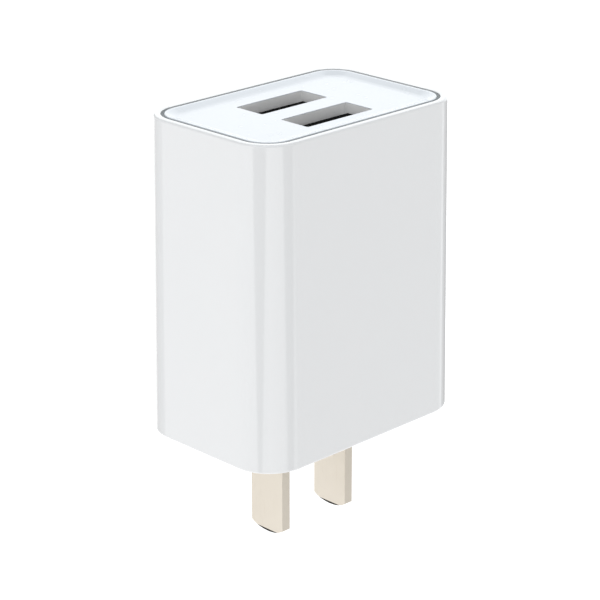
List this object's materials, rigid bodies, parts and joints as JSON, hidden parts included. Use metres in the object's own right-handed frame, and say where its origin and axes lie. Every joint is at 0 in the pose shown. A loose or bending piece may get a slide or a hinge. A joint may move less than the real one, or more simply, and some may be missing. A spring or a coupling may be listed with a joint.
{
  "type": "usb wall charger",
  "caption": "Compact upright wall charger with flat outlet blades below and side-by-side USB sockets in a dished end cap on top.",
  "frame": {"origin": "centre of the outlet face, the flat end of the casing that the blades leave and that rests on the wall outlet", "axes": "+Z along the casing from the outlet face to the sockets, X along the long side and from blade to blade, Y along the short side and from socket to socket"},
  "size_m": [0.0388, 0.0264, 0.0617],
  "materials": {
    "casing": "glossy white moulding",
    "cap": "satin white moulding",
    "blade": "nickel-plated brass, warm satin",
    "spring": "phosphor bronze",
    "carrier": "matt off-white moulding",
    "laminate": "green solder mask",
    "resin": "black moulded resin",
    "sleeve": "aluminium can in a black sleeve",
    "output_can": "bare aluminium can",
    "fuse": "green lacquer coating",
    "ferrite": "dark sintered ferrite",
    "disc": "blue dipped coating",
    "bobbin": "black moulding",
    "winding": "enamelled copper wire",
    "tape": "yellow polyester tape",
    "pin": "tinned brass",
    "card": "buff insulating card",
    "shell": "nickel-plated sheet steel",
    "tongue": "black moulding",
    "contact": "gilt contact strip"
  },
  "bodies": {
    "root": {"casing": "casing", "end_cap": "cap", "blade_left": "blade", "blade_right": "blade", "blade_spring_left": "spring", "blade_spring_right": "spring", "blade_carrier": "carrier", "mains_board": "laminate", "fuse_resistor": "fuse", "input_choke": "ferrite", "bridge_rectifier": "resin", "controller_chip": "resin", "optocoupler": "resin", "rectifier_diode": "resin", "y_capacitor": "disc", "transformer_core_lower": "ferrite", "transformer_core_upper": "ferrite", "transformer_bobbin": "bobbin", "transformer_winding": "winding", "transformer_tape": "tape", "bulk_capacitor_1": "sleeve", "bulk_capacitor_2": "sleeve", "output_capacitor_1": "output_can", "output_capacitor_2": "output_can", "riser_pin_1": "pin", "riser_pin_2": "pin", "riser_pin_3": "pin", "riser_pin_4": "pin", "insulation_sheet": "card", "socket_board": "laminate", "socket_chip": "resin", "usb_shell_front": "shell", "usb_shell_rear": "shell", "usb_tongue_front": "tongue", "usb_tongue_rear": "tongue", "usb_contact_front_1": "contact", "usb_contact_front_2": "contact", "usb_contact_front_3": "contact", "usb_contact_front_4": "contact", "usb_contact_rear_1": "contact", "usb_contact_rear_2": "contact", "usb_contact_rear_3": "contact", "usb_contact_rear_4": "contact"}
  },
  "joints": []
}
